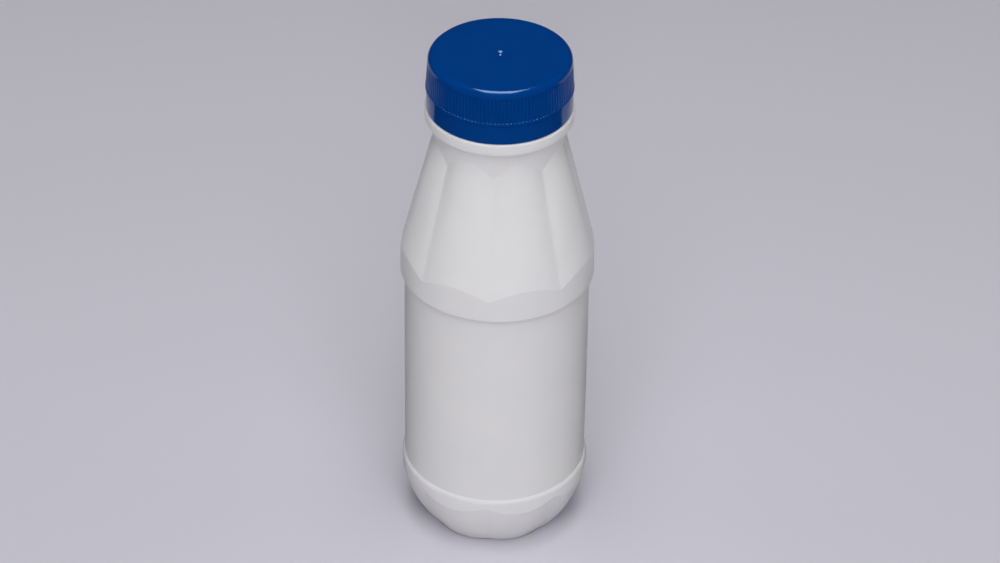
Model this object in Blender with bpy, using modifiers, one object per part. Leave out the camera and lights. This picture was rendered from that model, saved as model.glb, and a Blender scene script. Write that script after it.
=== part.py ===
"""A small ayran bottle standing on the floor: a white blow-moulded body and a blue ribbed screw cap.

The bottle stands on z = 0 with its axis on the Z axis. Its shoulder and its foot are made of eight round
flutes, in step with each other, and a valley between two flutes faces -Y, the front.
All sizes are in millimetres, and MM turns them into Blender's metres.
"""
import math

import bmesh
import bpy

MM = 0.001

# Fineness of the round shapes
BODY_STEPS = 96
CAP_STEPS = 60
CORNER_STEPS = 3

# Flutes of the shoulder and the foot
FLUTES = 8

# Foot: the flutes lean in on an arc, from the base ring down to the ring that the bottle stands on
FOOT_RADIUS = 20.7
FOOT_ARC_RADIUS = 39.6
FOOT_ARC_HEIGHT = 23.7
FOOT_VALLEY_DEPTH = 0.85
FOOT_VALLEY_FADE = 0.022
FOOT_EDGE_HEIGHT = 0.4
FOOT_EDGE_SLOPE = 1.45
RECESS_RADIUS = 16.0
RECESS_FLOOR_RADIUS = 12.5
RECESS_DEPTH = 1.6

# Base ring, label panel and band
BASE_RING_RADIUS = 27.7
BASE_RING_TOP = 20.9
BASE_RING_ROUND = 0.75
PANEL_RADIUS = 27.0
BAND_BOTTOM = 87.0
BAND_BOTTOM_RADIUS = 28.25
BAND_TOP_RADIUS = 27.1
BAND_TOP = 142.0
BAND_ROUND = 0.6
BAND_UNDERCUT = 0.7

# Shoulder: radius of a flute's middle and of the valleys, at a low and a high level
SHOULDER_LOW = 84.0
SHOULDER_HIGH = 136.8
SHOULDER_MIDDLES = (31.25, 18.30)
SHOULDER_VALLEYS = (30.60, 17.05)

# Neck, support ring and the plain finish under the cap
NECK_RADIUS = 18.85
NECK_FOOT = 125.0
RING_RADIUS = 21.3
RING_BOTTOM = 139.6
RING_TOP = 142.9
RING_ROUND = 0.5
FINISH_RADIUS = 18.5
FINISH_TOP = 158.0
FINISH_ROUND = 0.6

# Cap, with its tamper band as one moulding
CAP_TOP = 159.8
CAP_TOP_RADIUS = 20.4
CAP_TOP_ROUND = 1.8
CAP_CEILING = 158.3
CAP_BORE_RADIUS = 18.9
LEDGE_RADIUS = 21.0
LEDGE_BOTTOM = 149.4
LEDGE_THICKNESS = 0.9
LEDGE_ROUND = 0.25
TAMPER_RADIUS = 20.8
TAMPER_BOTTOM = 143.2
TAMPER_ROUND = 0.4
GATE_RADIUS = 0.9
GATE_DEPTH = 0.35

# Grip ribs of the cap
RIBS = 120
RIB_TOP = 157.7
RIB_WIDTH = 0.5
RIB_HEIGHT = 0.3
RIB_SINK = 0.25


def rounded(corners, steps=CORNER_STEPS):
    """Outline through corners (radius, height, rounding), with an arc at each corner that has a rounding."""
    points = []
    for index, (r, z, rounding) in enumerate(corners):
        if rounding == 0 or index in (0, len(corners) - 1):
            points.append((r, z))
            continue
        sides = []
        for other in (corners[index - 1], corners[index + 1]):
            dr, dz = other[0] - r, other[1] - z
            length = math.hypot(dr, dz)
            sides.append((dr / length, dz / length))
        (ar, az), (br, bz) = sides
        half = math.acos(max(-1.0, min(1.0, ar * br + az * bz))) / 2
        reach = rounding / math.tan(half)
        to_centre = rounding / math.sin(half)
        mid_r, mid_z = ar + br, az + bz
        mid = math.hypot(mid_r, mid_z)
        centre = (r + mid_r / mid * to_centre, z + mid_z / mid * to_centre)
        start = math.atan2(z + az * reach - centre[1], r + ar * reach - centre[0])
        end = math.atan2(z + bz * reach - centre[1], r + br * reach - centre[0])
        turn = (end - start + math.pi) % (2 * math.pi) - math.pi
        for step in range(steps + 1):
            angle = start + turn * step / steps
            points.append((centre[0] + rounding * math.cos(angle), centre[1] + rounding * math.sin(angle)))
    return points


def turned(name, outline, steps, collection):
    """Solid of revolution about Z. The outline runs from the axis at the top, down the outside, to the axis."""
    mesh = bpy.data.meshes.new(name)
    edges = [(index, index + 1) for index in range(len(outline) - 1)]
    mesh.from_pydata([(r * MM, 0.0, z * MM) for r, z in outline], edges, [])
    obj = bpy.data.objects.new(name, mesh)
    collection.objects.link(obj)
    screw = obj.modifiers.new("turn", 'SCREW')
    screw.axis = 'Z'
    screw.angle = 2 * math.pi
    screw.steps = steps
    screw.render_steps = steps
    screw.use_merge_vertices = True
    screw.merge_threshold = 0.000001
    screw.use_smooth_shade = True
    return obj


def flute_radius(angle, middle, valley):
    """Radius of a flute at an angle from its middle: one arc through the flute's middle and its two valleys."""
    half = math.pi / FLUTES
    centre = (middle ** 2 - valley ** 2) / (2 * (middle - valley * math.cos(half)))
    arc = middle - centre
    return centre * math.cos(angle) + math.sqrt(arc ** 2 - (centre * math.sin(angle)) ** 2)


def fluted(name, sections, collection):
    """Loft through fluted sections (height, radius of the flutes' middles, radius of the valleys)."""
    bm = bmesh.new()
    rings = []
    per_flute = BODY_STEPS // FLUTES
    for z, middle, valley in sections:
        ring = []
        for step in range(BODY_STEPS):
            turn = 2 * math.pi * step / BODY_STEPS
            from_middle = 2 * math.pi * (step % per_flute) / BODY_STEPS - math.pi / FLUTES
            r = flute_radius(from_middle, middle, valley)
            ring.append(bm.verts.new((r * math.sin(turn) * MM, -r * math.cos(turn) * MM, z * MM)))
        rings.append(ring)
    for lower, upper in zip(rings, rings[1:]):
        for step in range(BODY_STEPS):
            after = (step + 1) % BODY_STEPS
            bm.faces.new((lower[step], lower[after], upper[after], upper[step]))
    bm.faces.new(rings[0][::-1])
    bm.faces.new(rings[-1])
    for face in bm.faces:
        face.smooth = True
    mesh = bpy.data.meshes.new(name)
    bm.to_mesh(mesh)
    bm.free()
    obj = bpy.data.objects.new(name, mesh)
    collection.objects.link(obj)
    return obj


def combine(obj, other, operation):
    """Adds a live Boolean of another object to an object."""
    boolean = obj.modifiers.new(other.name, 'BOOLEAN')
    boolean.operation = operation
    boolean.solver = 'EXACT'
    boolean.object = other
    other.hide_render = True
    other.display_type = 'WIRE'


def bake(obj, sharp_angle):
    """Turns an object's modifiers into its mesh, shaded smooth with sharp creases."""
    bpy.context.view_layer.update()
    depsgraph = bpy.context.evaluated_depsgraph_get()
    mesh = bpy.data.meshes.new_from_object(obj.evaluated_get(depsgraph))
    obj.modifiers.clear()
    obj.data = mesh
    mesh.name = obj.name
    mesh.shade_smooth()
    mesh.set_sharp_from_angle(angle=math.radians(sharp_angle))


def plastic(name, colour, roughness):
    """Plain moulded plastic."""
    material = bpy.data.materials.new(name)
    material.use_nodes = True
    shader = material.node_tree.nodes["Principled BSDF"]
    shader.inputs["Base Color"].default_value = (*colour, 1.0)
    shader.inputs["Roughness"].default_value = roughness
    shader.inputs["Metallic"].default_value = 0.0
    material.diffuse_color = (*colour, 1.0)
    return material


def foot_flute(z):
    """Section of the foot's flutes at a height, with the small rounding where they meet the floor."""
    centre = FOOT_RADIUS - math.sqrt(FOOT_ARC_RADIUS ** 2 - FOOT_ARC_HEIGHT ** 2)
    on_arc = max(z, FOOT_EDGE_HEIGHT)
    middle = centre + math.sqrt(FOOT_ARC_RADIUS ** 2 - (FOOT_ARC_HEIGHT - on_arc) ** 2)
    middle -= FOOT_EDGE_SLOPE * (on_arc - z)
    return z, middle, middle - FOOT_VALLEY_DEPTH + FOOT_VALLEY_FADE * z


def make_foot(cutters):
    """Foot and base ring: a turned blank cut to the flutes, with a shallow recess underneath."""
    blank = turned("foot_blank", rounded([
        (0.0, BASE_RING_TOP, 0),
        (BASE_RING_RADIUS, BASE_RING_TOP, BASE_RING_ROUND),
        (BASE_RING_RADIUS, 0.0, 0),
        (RECESS_RADIUS, 0.0, 0),
        (RECESS_FLOOR_RADIUS, RECESS_DEPTH, 0),
        (0.0, RECESS_DEPTH, 0),
    ]), BODY_STEPS, cutters)
    heights = [-0.3, FOOT_EDGE_HEIGHT, 3.0, 6.0, 9.0, 12.0, 15.0, 18.0, BASE_RING_TOP + 1.0]
    flutes = fluted("foot_flutes", [foot_flute(z) for z in heights], cutters)
    combine(blank, flutes, 'INTERSECT')
    return blank


def make_shoulder(cutters):
    """Band and shoulder: a turned blank, overhanging the panel by a small step, cut to the flutes."""
    blank = turned("shoulder_blank", rounded([
        (0.0, BAND_TOP, 0),
        (BAND_TOP_RADIUS, BAND_TOP, 0),
        (BAND_BOTTOM_RADIUS, BAND_BOTTOM, BAND_ROUND),
        (PANEL_RADIUS - 1.0, BAND_BOTTOM - BAND_UNDERCUT, 0),
        (0.0, BAND_BOTTOM - BAND_UNDERCUT, 0),
    ]), BODY_STEPS, cutters)
    sections = list(zip((SHOULDER_LOW, SHOULDER_HIGH), SHOULDER_MIDDLES, SHOULDER_VALLEYS))
    flutes = fluted("shoulder_flutes", sections, cutters)
    combine(blank, flutes, 'INTERSECT')
    return blank


def make_bottle(collection, cutters):
    """Bottle: a turned core with the label panel, neck, support ring and finish, joined to the fluted parts."""
    foot = make_foot(cutters)
    shoulder = make_shoulder(cutters)
    core_bottom = BASE_RING_TOP - 1.7
    core_top = BAND_BOTTOM + 2.5
    bottle = turned("bottle", rounded([
        (0.0, FINISH_TOP, 0),
        (FINISH_RADIUS, FINISH_TOP, FINISH_ROUND),
        (FINISH_RADIUS, RING_TOP, 0),
        (RING_RADIUS, RING_TOP, RING_ROUND),
        (RING_RADIUS - 0.1, RING_BOTTOM, RING_ROUND),
        (NECK_RADIUS, RING_BOTTOM, RING_ROUND),
        (NECK_RADIUS, NECK_FOOT, 0),
        (PANEL_RADIUS, core_top, 0),
        (PANEL_RADIUS, core_bottom, 0),
        (0.0, core_bottom, 0),
    ]), BODY_STEPS, collection)
    combine(bottle, foot, 'UNION')
    combine(bottle, shoulder, 'UNION')
    bottle.data.materials.append(plastic("white_plastic", (0.80, 0.79, 0.78), 0.38))
    bake(bottle, 18.0)
    return bottle


def grip_radius(z):
    """Radius of the rib tips, which flare from the cap's top to its ledge."""
    corner = CAP_TOP - CAP_TOP_ROUND
    share = (corner - z) / (corner - LEDGE_BOTTOM)
    return CAP_TOP_RADIUS + (LEDGE_RADIUS - CAP_TOP_RADIUS) * share


def make_ribs(cutters):
    """Grip ribs: upright bars set round the cap, sunk into the collar above and the ledge below."""
    ledge_top = LEDGE_BOTTOM + LEDGE_THICKNESS
    bottom = ledge_top - 0.2
    top = RIB_TOP + 0.2
    bm = bmesh.new()
    for index in range(RIBS):
        turn = 2 * math.pi * (index + 0.5) / RIBS
        cube = bmesh.ops.create_cube(bm, size=1.0)
        for vert in cube["verts"]:
            z = top if vert.co.z > 0 else bottom
            tip = grip_radius(z) - 0.03
            r = tip if vert.co.y < 0 else tip - RIB_HEIGHT - RIB_SINK
            side = vert.co.x * RIB_WIDTH
            x = r * math.sin(turn) + side * math.cos(turn)
            y = -r * math.cos(turn) + side * math.sin(turn)
            vert.co = (x * MM, y * MM, z * MM)
    mesh = bpy.data.meshes.new("ribs")
    bm.to_mesh(mesh)
    bm.free()
    ribs = bpy.data.objects.new("ribs", mesh)
    cutters.objects.link(ribs)
    return ribs


def make_cap(collection, cutters):
    """Screw cap: a cup over the finish, ribbed above its ledge, with the plain tamper band below it."""
    ledge_top = LEDGE_BOTTOM + LEDGE_THICKNESS
    cap = turned("cap", rounded([
        (0.0, CAP_TOP - GATE_DEPTH, 0),
        (GATE_RADIUS * 0.5, CAP_TOP - GATE_DEPTH, 0),
        (GATE_RADIUS, CAP_TOP, 0),
        (CAP_TOP_RADIUS, CAP_TOP, CAP_TOP_ROUND),
        (grip_radius(RIB_TOP), RIB_TOP, 0),
        (grip_radius(RIB_TOP) - RIB_HEIGHT, RIB_TOP - 0.15, 0),
        (grip_radius(ledge_top) - RIB_HEIGHT, ledge_top + 0.1, 0),
        (LEDGE_RADIUS, ledge_top, LEDGE_ROUND),
        (LEDGE_RADIUS, LEDGE_BOTTOM, 0),
        (TAMPER_RADIUS, LEDGE_BOTTOM - 0.15, 0),
        (TAMPER_RADIUS, TAMPER_BOTTOM, TAMPER_ROUND),
        (CAP_BORE_RADIUS, TAMPER_BOTTOM, 0),
        (CAP_BORE_RADIUS, CAP_CEILING, 0),
        (0.0, CAP_CEILING, 0),
    ]), CAP_STEPS, collection)
    combine(cap, make_ribs(cutters), 'UNION')
    cap.data.materials.append(plastic("blue_plastic", (0.002, 0.040, 0.205), 0.30))
    bake(cap, 25.0)
    return cap


def main():
    """Clears the scene and builds the bottle and its cap."""
    for obj in list(bpy.data.objects):
        bpy.data.objects.remove(obj, do_unlink=True)
    collection = bpy.data.collections.new("ayran_bottle")
    cutters = bpy.data.collections.new("cutters")
    for made in (collection, cutters):
        bpy.context.scene.collection.children.link(made)
    make_bottle(collection, cutters)
    make_cap(collection, cutters)


main()
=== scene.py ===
"""Looks of the ayran bottle: fine moulded surfaces, white and blue plastic, a pale floor and soft light.

The bottle stands on z = 0 with its axis on the Z axis, and a valley between two flutes faces -Y, the front.
Sizes are in millimetres, as the plastic's drawing would give them, and MM turns them into metres.
"""
import math

import bpy
import numpy as np
from mathutils import Matrix, Vector


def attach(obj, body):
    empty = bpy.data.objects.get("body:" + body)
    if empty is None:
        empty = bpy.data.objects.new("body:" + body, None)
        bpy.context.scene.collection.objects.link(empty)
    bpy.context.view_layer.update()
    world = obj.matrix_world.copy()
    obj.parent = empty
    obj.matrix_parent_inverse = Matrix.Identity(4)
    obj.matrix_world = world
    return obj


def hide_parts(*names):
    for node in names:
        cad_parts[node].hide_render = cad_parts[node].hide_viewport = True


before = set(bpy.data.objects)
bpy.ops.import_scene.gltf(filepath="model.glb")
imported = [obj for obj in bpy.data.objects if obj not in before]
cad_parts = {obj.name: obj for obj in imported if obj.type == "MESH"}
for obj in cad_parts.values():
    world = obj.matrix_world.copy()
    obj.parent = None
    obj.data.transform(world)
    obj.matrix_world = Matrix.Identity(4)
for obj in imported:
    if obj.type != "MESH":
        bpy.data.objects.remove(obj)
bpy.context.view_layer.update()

MM = 0.001
ARC_STEPS = 5

# Flutes of the shoulder and the foot
FLUTES = 8
HALF_FLUTE = math.pi / FLUTES
COLUMNS_PER_HALF_FLUTE = 26
VALLEY_SOFTNESS = 0.020

# Foot
FOOT_RADIUS = 20.7
FOOT_ARC_RADIUS = 39.6
FOOT_ARC_HEIGHT = 23.7
FOOT_VALLEY_DEPTH = 0.85
FOOT_VALLEY_FADE = 0.022
FOOT_ROUND = 1.0
RECESS_RADIUS = 16.0
RECESS_FLOOR_RADIUS = 12.5
RECESS_DEPTH = 1.6

# Base ring, label panel and band
BASE_RING_RADIUS = 27.7
BASE_RING_TOP = 20.75
BASE_RING_SHOULDER = 20.16
BASE_RING_ROUND = 1.8
PANEL_RADIUS = 27.0
BAND_BOTTOM = 87.3
BAND_BOTTOM_RADIUS = 28.24
BAND_SLOPE = 0.0209
BAND_ROUND = 0.6
BAND_UNDERCUT = 0.7

# Shoulder: radius of a flute's middle and of the valleys at one level, and how much they lose for each mm up
SHOULDER_LEVEL = 110.0
MIDDLE_RADIUS = 24.87
MIDDLE_SLOPE = 0.2453
VALLEY_RADIUS = 23.95
VALLEY_SLOPE = 0.2566
NECK_CREASE_ROUND = 1.6
BAND_CREASE_ROUND = 1.2

# Neck, support ring and finish
NECK_RADIUS = 18.85
RING_RADIUS = 21.3
RING_BOTTOM = 139.6
RING_TOP = 143.05
RING_ROUND = 0.5
FINISH_RADIUS = 18.5
FINISH_TOP = 158.0

# Sizes of a mould seam on both sides; nothing below uses them
SEAM_HEIGHT = 0.04
SEAM_WIDTH = 0.16

# Cap
CAP_TOP = 159.8
CAP_TOP_RADIUS = 20.4
CAP_TOP_ROUND = 1.8
CAP_CEILING = 158.3
CAP_BORE_RADIUS = 18.9
LEDGE_RADIUS = 21.0
LEDGE_BOTTOM = 149.1
LEDGE_TOP = 149.9
TAMPER_RADIUS = 20.8
TAMPER_BOTTOM = 143.15
GATE_RADIUS = 1.75
GATE_FLOOR_RADIUS = 1.15
GATE_DEPTH = 0.34
PIP_RADIUS = 0.42
PIP_TILT = 28.0

# Grip ribs and the tamper slit's bridges
RIBS = 120
RIB_TOP = 157.7
RIB_HEIGHT = 0.3
RIB_TIP_SHARE = 0.20
RIB_ROOT_SHARE = 0.36
RIB_COLUMNS = (0.0, 0.17, 0.24, 0.32, 0.5, -0.32, -0.24, -0.17)
BRIDGES = 24
SLIT_DEPTH = 0.3
SLIT_HEIGHT = 0.12

# Camera, solved from the photograph's circles
CAMERA_AZIMUTH = 4.59
CAMERA_DISTANCE = 827.2
CAMERA_HEIGHT = 680.7
CAMERA_LENS = 125.76
CAMERA_PITCH = 0.627035
CAMERA_YAW = 0.0010759
CAMERA_ROLL = 0.0157172

# Floor, in metres
FLOOR_HALF = 3.0
FLOOR_EDGE = 0.10

# Lights: name, azimuth and elevation in degrees, distance in metres, width and height in metres, watts, and
# whether they light the surfaces, are mirrored in them, or both
BOTTLE_MIDDLE = 0.08
SURROUND = 0.01
LIGHTS = (
    ("softbox", 0, 90, 1.1, 0.55, 0.72, 11.0, "mirrored"),
    ("top", 0, 90, 1.1, 0.55, 0.55, 5.2, "lights"),
    ("high_front", 5, 60, 1.5, 0.9, 0.9, 10.8, "lights"),
    ("low_front", 5, 6, 1.5, 0.3, 0.3, 6.8, "lights"),
    ("left", -95, 20, 1.5, 0.9, 0.9, 2.2, "lights"),
    ("right", 105, 20, 1.5, 0.9, 0.9, 2.2, "lights"),
)


def rounded(corners):
    """Outline through corners (radius, height, rounding, pieces up to the next corner), arcs at the roundings."""
    runs = []
    for index, (r, z, rounding, _) in enumerate(corners):
        if rounding == 0 or index in (0, len(corners) - 1):
            runs.append([(r, z)])
            continue
        sides = []
        for other in (corners[index - 1], corners[index + 1]):
            dr, dz = other[0] - r, other[1] - z
            length = math.hypot(dr, dz)
            sides.append((dr / length, dz / length))
        (ar, az), (br, bz) = sides
        half = math.acos(max(-1.0, min(1.0, ar * br + az * bz))) / 2
        reach = rounding / math.tan(half)
        to_centre = rounding / math.sin(half)
        mid = math.hypot(ar + br, az + bz)
        centre_r = r + (ar + br) / mid * to_centre
        centre_z = z + (az + bz) / mid * to_centre
        start = math.atan2(z + az * reach - centre_z, r + ar * reach - centre_r)
        end = math.atan2(z + bz * reach - centre_z, r + br * reach - centre_r)
        turn = (end - start + math.pi) % (2 * math.pi) - math.pi
        arc = []
        for step in range(ARC_STEPS + 1):
            angle = start + turn * step / ARC_STEPS
            arc.append((centre_r + rounding * math.cos(angle), centre_z + rounding * math.sin(angle)))
        runs.append(arc)
    points = []
    for index, run in enumerate(runs):
        points += run
        if index + 1 < len(runs):
            (r0, z0), (r1, z1) = run[-1], runs[index + 1][0]
            pieces = corners[index][3]
            for piece in range(1, pieces):
                share = piece / pieces
                points.append((r0 + (r1 - r0) * share, z0 + (z1 - z0) * share))
    return points


def shell(name, turns, outline_at):
    """Closed smooth surface with one outline for each turn about Z, from the axis at the top to the bottom."""
    outlines = np.array([outline_at(turn) for turn in turns])
    turns = np.array(turns)[:, None]
    r, z = outlines[:, 1:-1, 0], outlines[:, 1:-1, 1]
    x, y = r * np.sin(turns), -r * np.cos(turns)
    rows = r.shape[1]
    columns = len(turns)
    verts = (np.stack([x, y, z], axis=2).reshape(-1, 3) * MM).tolist()
    top, bottom = len(verts), len(verts) + 1
    verts.append((0.0, 0.0, outlines[0, 0, 1] * MM))
    verts.append((0.0, 0.0, outlines[0, -1, 1] * MM))
    faces = []
    for column in range(columns):
        here, after = column * rows, (column + 1) % columns * rows
        faces.append((top, here, after))
        for row in range(rows - 1):
            faces.append((here + row, here + row + 1, after + row + 1, after + row))
        faces.append((bottom, after + rows - 1, here + rows - 1))
    mesh = bpy.data.meshes.new(name)
    mesh.from_pydata(verts, [], faces)
    mesh.validate()
    mesh.shade_smooth()
    obj = bpy.data.objects.new(name, mesh)
    bpy.context.scene.collection.objects.link(obj)
    return obj


def flute_radius(from_middle, middle, valley):
    """Radius of a flute at an angle from its middle: one arc through the flute's middle and its two valleys."""
    centre = (middle ** 2 - valley ** 2) / (2 * (middle - valley * math.cos(HALF_FLUTE)))
    arc = middle - centre
    return centre * math.cos(from_middle) + math.sqrt(arc ** 2 - (centre * math.sin(from_middle)) ** 2)


def from_middle(turn):
    """Angle from the nearest flute's middle, softened where two flutes meet in a valley."""
    from_valley = min(turn % (2 * HALF_FLUTE), 2 * HALF_FLUTE - turn % (2 * HALF_FLUTE))
    softened = math.hypot(from_valley, VALLEY_SOFTNESS)
    return max(0.0, HALF_FLUTE - softened)


def shoulder_radius(turn, z):
    """Radius of the fluted shoulder."""
    up = z - SHOULDER_LEVEL
    middle = MIDDLE_RADIUS - MIDDLE_SLOPE * up
    valley = VALLEY_RADIUS - VALLEY_SLOPE * up
    return flute_radius(from_middle(turn), middle, valley)


def foot_radius(turn, z):
    """Radius of the fluted foot, whose flutes lean in on an arc."""
    centre = FOOT_RADIUS - math.sqrt(FOOT_ARC_RADIUS ** 2 - FOOT_ARC_HEIGHT ** 2)
    middle = centre + math.sqrt(FOOT_ARC_RADIUS ** 2 - (FOOT_ARC_HEIGHT - z) ** 2)
    valley = middle - FOOT_VALLEY_DEPTH + FOOT_VALLEY_FADE * z
    return flute_radius(from_middle(turn), middle, valley)


def band_radius(z):
    """Radius of the plain band between the panel and the shoulder."""
    return BAND_BOTTOM_RADIUS - BAND_SLOPE * (z - BAND_BOTTOM)


def height_where(gap, low, high):
    """Height between low and high at which a gap changes sign, by halving."""
    rising = gap(high) > gap(low)
    for _ in range(30):
        middle = (low + high) / 2
        if (gap(middle) > 0) == rising:
            high = middle
        else:
            low = middle
    return (low + high) / 2


def bottle_outline(turn):
    """Outline of the bottle at a turn about its axis."""
    neck_crease = height_where(lambda z: shoulder_radius(turn, z) - NECK_RADIUS, 120.0, 139.0)
    band_crease = height_where(lambda z: shoulder_radius(turn, z) - band_radius(z), 88.0, 104.0)
    foot_crease = height_where(lambda z: foot_radius(turn, z) - BASE_RING_RADIUS, 10.0, 20.0)
    foot = []
    levels = 10
    for level in range(1, levels + 1):
        z = foot_crease * (1 - level / levels)
        foot.append((foot_radius(turn, z), z, 0, 1))
    foot[-1] = (foot[-1][0], 0.0, FOOT_ROUND, 2)
    return rounded([
        (0.0, FINISH_TOP, 0, 2),
        (FINISH_RADIUS, FINISH_TOP, 0.6, 2),
        (FINISH_RADIUS, RING_TOP, 0.2, 2),
        (RING_RADIUS, RING_TOP, RING_ROUND, 2),
        (RING_RADIUS - 0.1, RING_BOTTOM, 0.3, 1),
        (NECK_RADIUS, RING_BOTTOM, 0.25, 4),
        (NECK_RADIUS, neck_crease, NECK_CREASE_ROUND, 24),
        (band_radius(band_crease), band_crease, BAND_CREASE_ROUND, 5),
        (BAND_BOTTOM_RADIUS, BAND_BOTTOM, BAND_ROUND, 1),
        (PANEL_RADIUS, BAND_BOTTOM - BAND_UNDERCUT, 0.15, 30),
        (PANEL_RADIUS, BASE_RING_TOP, 0.15, 1),
        (BASE_RING_RADIUS, BASE_RING_SHOULDER, BASE_RING_ROUND, 2),
        (BASE_RING_RADIUS, foot_crease, 1.0, 1),
        *foot,
        (RECESS_RADIUS, 0.0, 0.8, 3),
        (RECESS_FLOOR_RADIUS, RECESS_DEPTH, 0.8, 4),
        (0.0, RECESS_DEPTH, 0, 1),
    ])


def make_bottle():
    """The white blow-moulded bottle, whose rows follow the creases of its flutes."""
    shares = [(step / COLUMNS_PER_HALF_FLUTE) ** 1.6 for step in range(COLUMNS_PER_HALF_FLUTE)]
    in_flute = [share * HALF_FLUTE for share in shares]
    in_flute += [HALF_FLUTE] + [2 * HALF_FLUTE - turn for turn in in_flute[:0:-1]]
    turns = [2 * HALF_FLUTE * flute + turn for flute in range(FLUTES) for turn in in_flute]
    return shell("bottle_surface", turns, bottle_outline)


def rib_share(turn):
    """How far a rib stands out at a turn about the axis: 0 in the grooves, 1 on the tips."""
    phase = abs((turn * RIBS / (2 * math.pi) + 0.5) % 1.0 - 0.5)
    share = (RIB_ROOT_SHARE - phase) / (RIB_ROOT_SHARE - RIB_TIP_SHARE)
    share = max(0.0, min(1.0, share))
    return share * share * (3 - 2 * share)


def grip_radius(z):
    """Radius of the rib tips, which flare from the cap's top to its ledge."""
    corner = CAP_TOP - CAP_TOP_ROUND
    return CAP_TOP_RADIUS + (LEDGE_RADIUS - CAP_TOP_RADIUS) * (corner - z) / (corner - LEDGE_BOTTOM)


def cap_outline(turn):
    """Outline of the cap at a turn about its axis."""
    groove = RIB_HEIGHT * (1 - rib_share(turn))
    bridge = abs((turn * BRIDGES / (2 * math.pi) + 0.5) % 1.0 - 0.5) < 0.05
    slit = 0.0 if bridge else SLIT_DEPTH
    pip_fall = (PIP_RADIUS - 0.02) * math.tan(math.radians(PIP_TILT))
    return rounded([
        (0.0, CAP_TOP - pip_fall, 0, 2),
        (PIP_RADIUS, CAP_TOP - pip_fall * (1 + math.cos(turn)), 0, 1),
        (PIP_RADIUS + 0.05, CAP_TOP - GATE_DEPTH, 0, 1),
        (GATE_FLOOR_RADIUS, CAP_TOP - GATE_DEPTH, 0.2, 1),
        (GATE_RADIUS, CAP_TOP, 0.2, 8),
        (CAP_TOP_RADIUS, CAP_TOP, CAP_TOP_ROUND, 1),
        (grip_radius(RIB_TOP) + 0.02, RIB_TOP, 0.06, 1),
        (grip_radius(RIB_TOP - 0.3) - groove, RIB_TOP - 0.3, 0.06, 5),
        (grip_radius(LEDGE_TOP) - groove - 0.06, LEDGE_TOP + 0.15, 0.1, 1),
        (LEDGE_RADIUS, LEDGE_TOP, 0.25, 1),
        (LEDGE_RADIUS, LEDGE_BOTTOM, 0.15, 1),
        (TAMPER_RADIUS - slit - 0.05, LEDGE_BOTTOM - 0.05, 0.02, 1),
        (TAMPER_RADIUS - slit - 0.03, LEDGE_BOTTOM - SLIT_HEIGHT, 0.02, 1),
        (TAMPER_RADIUS, LEDGE_BOTTOM - SLIT_HEIGHT - 0.05, 0.1, 4),
        (TAMPER_RADIUS, TAMPER_BOTTOM, 0.25, 1),
        (CAP_BORE_RADIUS, TAMPER_BOTTOM, 0.2, 2),
        (CAP_BORE_RADIUS, CAP_CEILING, 0.2, 2),
        (0.0, CAP_CEILING, 0, 1),
    ])


def make_cap():
    """The blue cap: smooth collar, upright ribs, ledge, slit with its bridges, and the plain tamper band."""
    turns = []
    for rib in range(RIBS):
        for share in sorted(share % 1.0 for share in RIB_COLUMNS):
            turns.append((rib + share) * 2 * math.pi / RIBS)
    return shell("cap_surface", turns, cap_outline)


class Nodes:
    """Short helper for building a material's nodes."""

    def __init__(self, name):
        self.material = bpy.data.materials.new(name)
        self.material.use_nodes = True
        self.tree = self.material.node_tree
        self.shader = self.tree.nodes["Principled BSDF"]

    def add(self, kind, inputs=None, **settings):
        """Adds a node. An input is a value or another node's output."""
        node = self.tree.nodes.new(kind)
        for key, value in settings.items():
            setattr(node, key, value)
        for key, value in (inputs or {}).items():
            self.set(node.inputs[key], value)
        return node

    def set(self, socket, value):
        """Gives a socket a value or a link."""
        if isinstance(value, bpy.types.NodeSocket):
            self.tree.links.new(value, socket)
        else:
            socket.default_value = value

    def noise(self, place, scale, detail=2.0, roughness=0.5):
        """Noise between 0 and 1 at a scale in 1/m."""
        node = self.add("ShaderNodeTexNoise", {
            "Vector": place, "Scale": scale, "Detail": detail, "Roughness": roughness})
        return node.outputs["Fac"]

    def remap(self, value, low, high, new_low, new_high):
        """Maps a value from one range to another, held at both ends."""
        node = self.add("ShaderNodeMapRange", {
            "Value": value, "From Min": low, "From Max": high, "To Min": new_low, "To Max": new_high})
        return node.outputs["Result"]

    def blend(self, share, first, second):
        """Mixes two colours."""
        node = self.add("ShaderNodeMix", data_type="RGBA")
        self.set(node.inputs[0], share)
        for socket, colour in ((node.inputs[6], first), (node.inputs[7], second)):
            self.set(socket, colour if isinstance(colour, bpy.types.NodeSocket) else (*colour, 1.0))
        return node.outputs[2]

    def bump(self, height, strength, distance, normal=None):
        """Bump from a height."""
        node = self.add("ShaderNodeBump", {"Height": height, "Strength": strength, "Distance": distance})
        if normal is not None:
            self.set(node.inputs["Normal"], normal)
        return node.outputs["Normal"]


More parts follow.
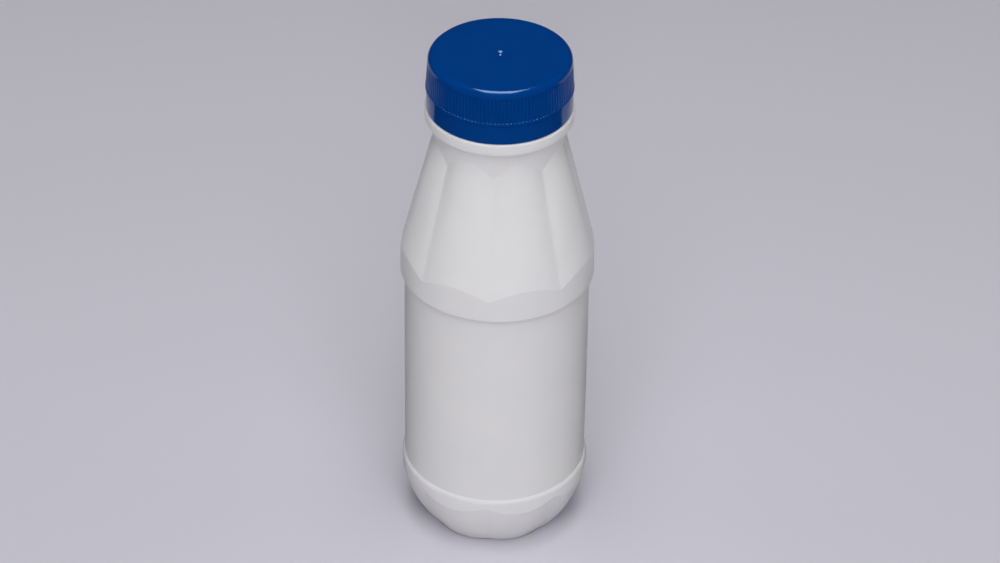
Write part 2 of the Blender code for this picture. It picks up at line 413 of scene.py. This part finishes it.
def white_plastic():
    """Satin white plastic of a blow-moulded bottle, a little see-through, faintly mottled."""
    n = Nodes("white_plastic_look")
    place = n.add("ShaderNodeTexCoord").outputs["Object"]
    mottle = n.noise(place, 55.0, 3.0, 0.55)
    colour = n.blend(n.remap(mottle, 0.35, 0.65, 0.0, 1.0), (0.800, 0.790, 0.785), (0.780, 0.775, 0.785))
    grain = n.noise(place, 2600.0, 2.0, 0.6)
    waves = n.noise(place, 130.0, 1.0, 0.4)
    n.set(n.shader.inputs["Base Color"], colour)
    n.set(n.shader.inputs["Roughness"], n.remap(n.noise(place, 90.0, 3.0), 0.3, 0.7, 0.36, 0.46))
    n.shader.inputs["IOR"].default_value = 1.5
    n.shader.inputs["Subsurface Weight"].default_value = 0.2
    n.shader.inputs["Subsurface Radius"].default_value = (1.0, 0.95, 0.9)
    n.shader.inputs["Subsurface Scale"].default_value = 0.0006
    n.set(n.shader.inputs["Normal"], n.bump(grain, 0.12, 0.00004, n.bump(waves, 0.25, 0.0003)))
    return n.material


def blue_plastic():
    """Glossy blue plastic of an injection-moulded cap."""
    n = Nodes("blue_plastic_look")
    place = n.add("ShaderNodeTexCoord").outputs["Object"]
    cloud = n.noise(place, 160.0, 2.0)
    colour = n.blend(n.remap(cloud, 0.3, 0.7, 0.0, 1.0), (0.0, 0.043, 0.222), (0.0, 0.046, 0.235))
    grain = n.noise(place, 3200.0, 2.0, 0.6)
    waves = n.noise(place, 260.0, 2.0)
    n.set(n.shader.inputs["Base Color"], colour)
    n.set(n.shader.inputs["Roughness"], n.remap(n.noise(place, 240.0, 3.0), 0.3, 0.7, 0.09, 0.15))
    n.shader.inputs["IOR"].default_value = 1.49
    n.shader.inputs["Specular IOR Level"].default_value = 0.6
    n.shader.inputs["Specular Tint"].default_value = (0.5, 0.7, 1.0, 1.0)
    n.set(n.shader.inputs["Normal"], n.bump(grain, 0.10, 0.00003, n.bump(waves, 0.2, 0.0001)))
    return n.material


def dress(piece, node, material):
    """Puts a piece in a CAD node's place, with its material."""
    piece.data.materials.clear()
    piece.data.materials.append(material)
    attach(piece, "root")
    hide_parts(node)


def make_floor():
    """Plain pale floor. The part out in front stays out of the plastic's reflections."""
    n = Nodes("floor_look")
    n.shader.inputs["Base Color"].default_value = (0.70, 0.685, 0.77, 1.0)
    n.shader.inputs["Roughness"].default_value = 0.4
    for name, near, far in (("floor", FLOOR_EDGE, FLOOR_HALF), ("floor_in_front", -FLOOR_HALF, FLOOR_EDGE)):
        corners = [(-FLOOR_HALF, near, 0), (FLOOR_HALF, near, 0), (FLOOR_HALF, far, 0), (-FLOOR_HALF, far, 0)]
        mesh = bpy.data.meshes.new(name)
        mesh.from_pydata(corners, [], [(0, 1, 2, 3)])
        mesh.materials.append(n.material)
        floor = bpy.data.objects.new(name, mesh)
        bpy.context.scene.collection.objects.link(floor)
        floor.visible_glossy = name == "floor"


def from_angles(azimuth, elevation, distance):
    """Place at an azimuth from the front, an elevation and a distance in metres from the bottle's middle."""
    turn, rise = math.radians(azimuth), math.radians(elevation)
    return Vector((
        distance * math.cos(rise) * math.sin(turn),
        -distance * math.cos(rise) * math.cos(turn),
        BOTTLE_MIDDLE + distance * math.sin(rise),
    ))


def make_lights():
    """Soft studio light from above and in front, in a dark surround."""
    for name, azimuth, elevation, distance, width, height, power, use in LIGHTS:
        lamp = bpy.data.lights.new(name, 'AREA')
        lamp.shape = 'RECTANGLE'
        lamp.size = width
        lamp.size_y = height
        lamp.energy = power
        obj = bpy.data.objects.new(name, lamp)
        obj.location = from_angles(azimuth, elevation, distance)
        aim = Vector((0.0, 0.0, BOTTLE_MIDDLE)) - obj.location
        obj.rotation_euler = aim.to_track_quat('-Z', 'Y').to_euler()
        obj.visible_diffuse = use != "mirrored"
        obj.visible_glossy = use != "lights"
        bpy.context.scene.collection.objects.link(obj)
    world = bpy.data.worlds.new("surround")
    world.use_nodes = True
    background = world.node_tree.nodes["Background"]
    background.inputs["Color"].default_value = (0.95, 0.96, 1.0, 1.0)
    background.inputs["Strength"].default_value = SURROUND
    bpy.context.scene.world = world


def make_camera():
    """Camera at the photograph's place and lens."""
    data = bpy.data.cameras.new("camera")
    data.lens = CAMERA_LENS
    data.sensor_width = 36.0
    data.clip_start = 0.01
    camera = bpy.data.objects.new("camera", data)
    turn = math.radians(CAMERA_AZIMUTH)
    place = Vector((CAMERA_DISTANCE * math.sin(turn), -CAMERA_DISTANCE * math.cos(turn), CAMERA_HEIGHT)) * MM
    aim = (
        Matrix.Rotation(turn - CAMERA_YAW, 4, 'Z')
        @ Matrix.Rotation(math.pi / 2 - CAMERA_PITCH, 4, 'X')
        @ Matrix.Rotation(CAMERA_ROLL, 4, 'Z')
    )
    camera.matrix_world = Matrix.Translation(place) @ aim
    bpy.context.scene.collection.objects.link(camera)
    bpy.context.scene.camera = camera


make_camera()
make_lights()
make_floor()
dress(make_bottle(), "bottle", white_plastic())
dress(make_cap(), "cap", blue_plastic())
bpy.context.scene.view_settings.view_transform = 'Standard'
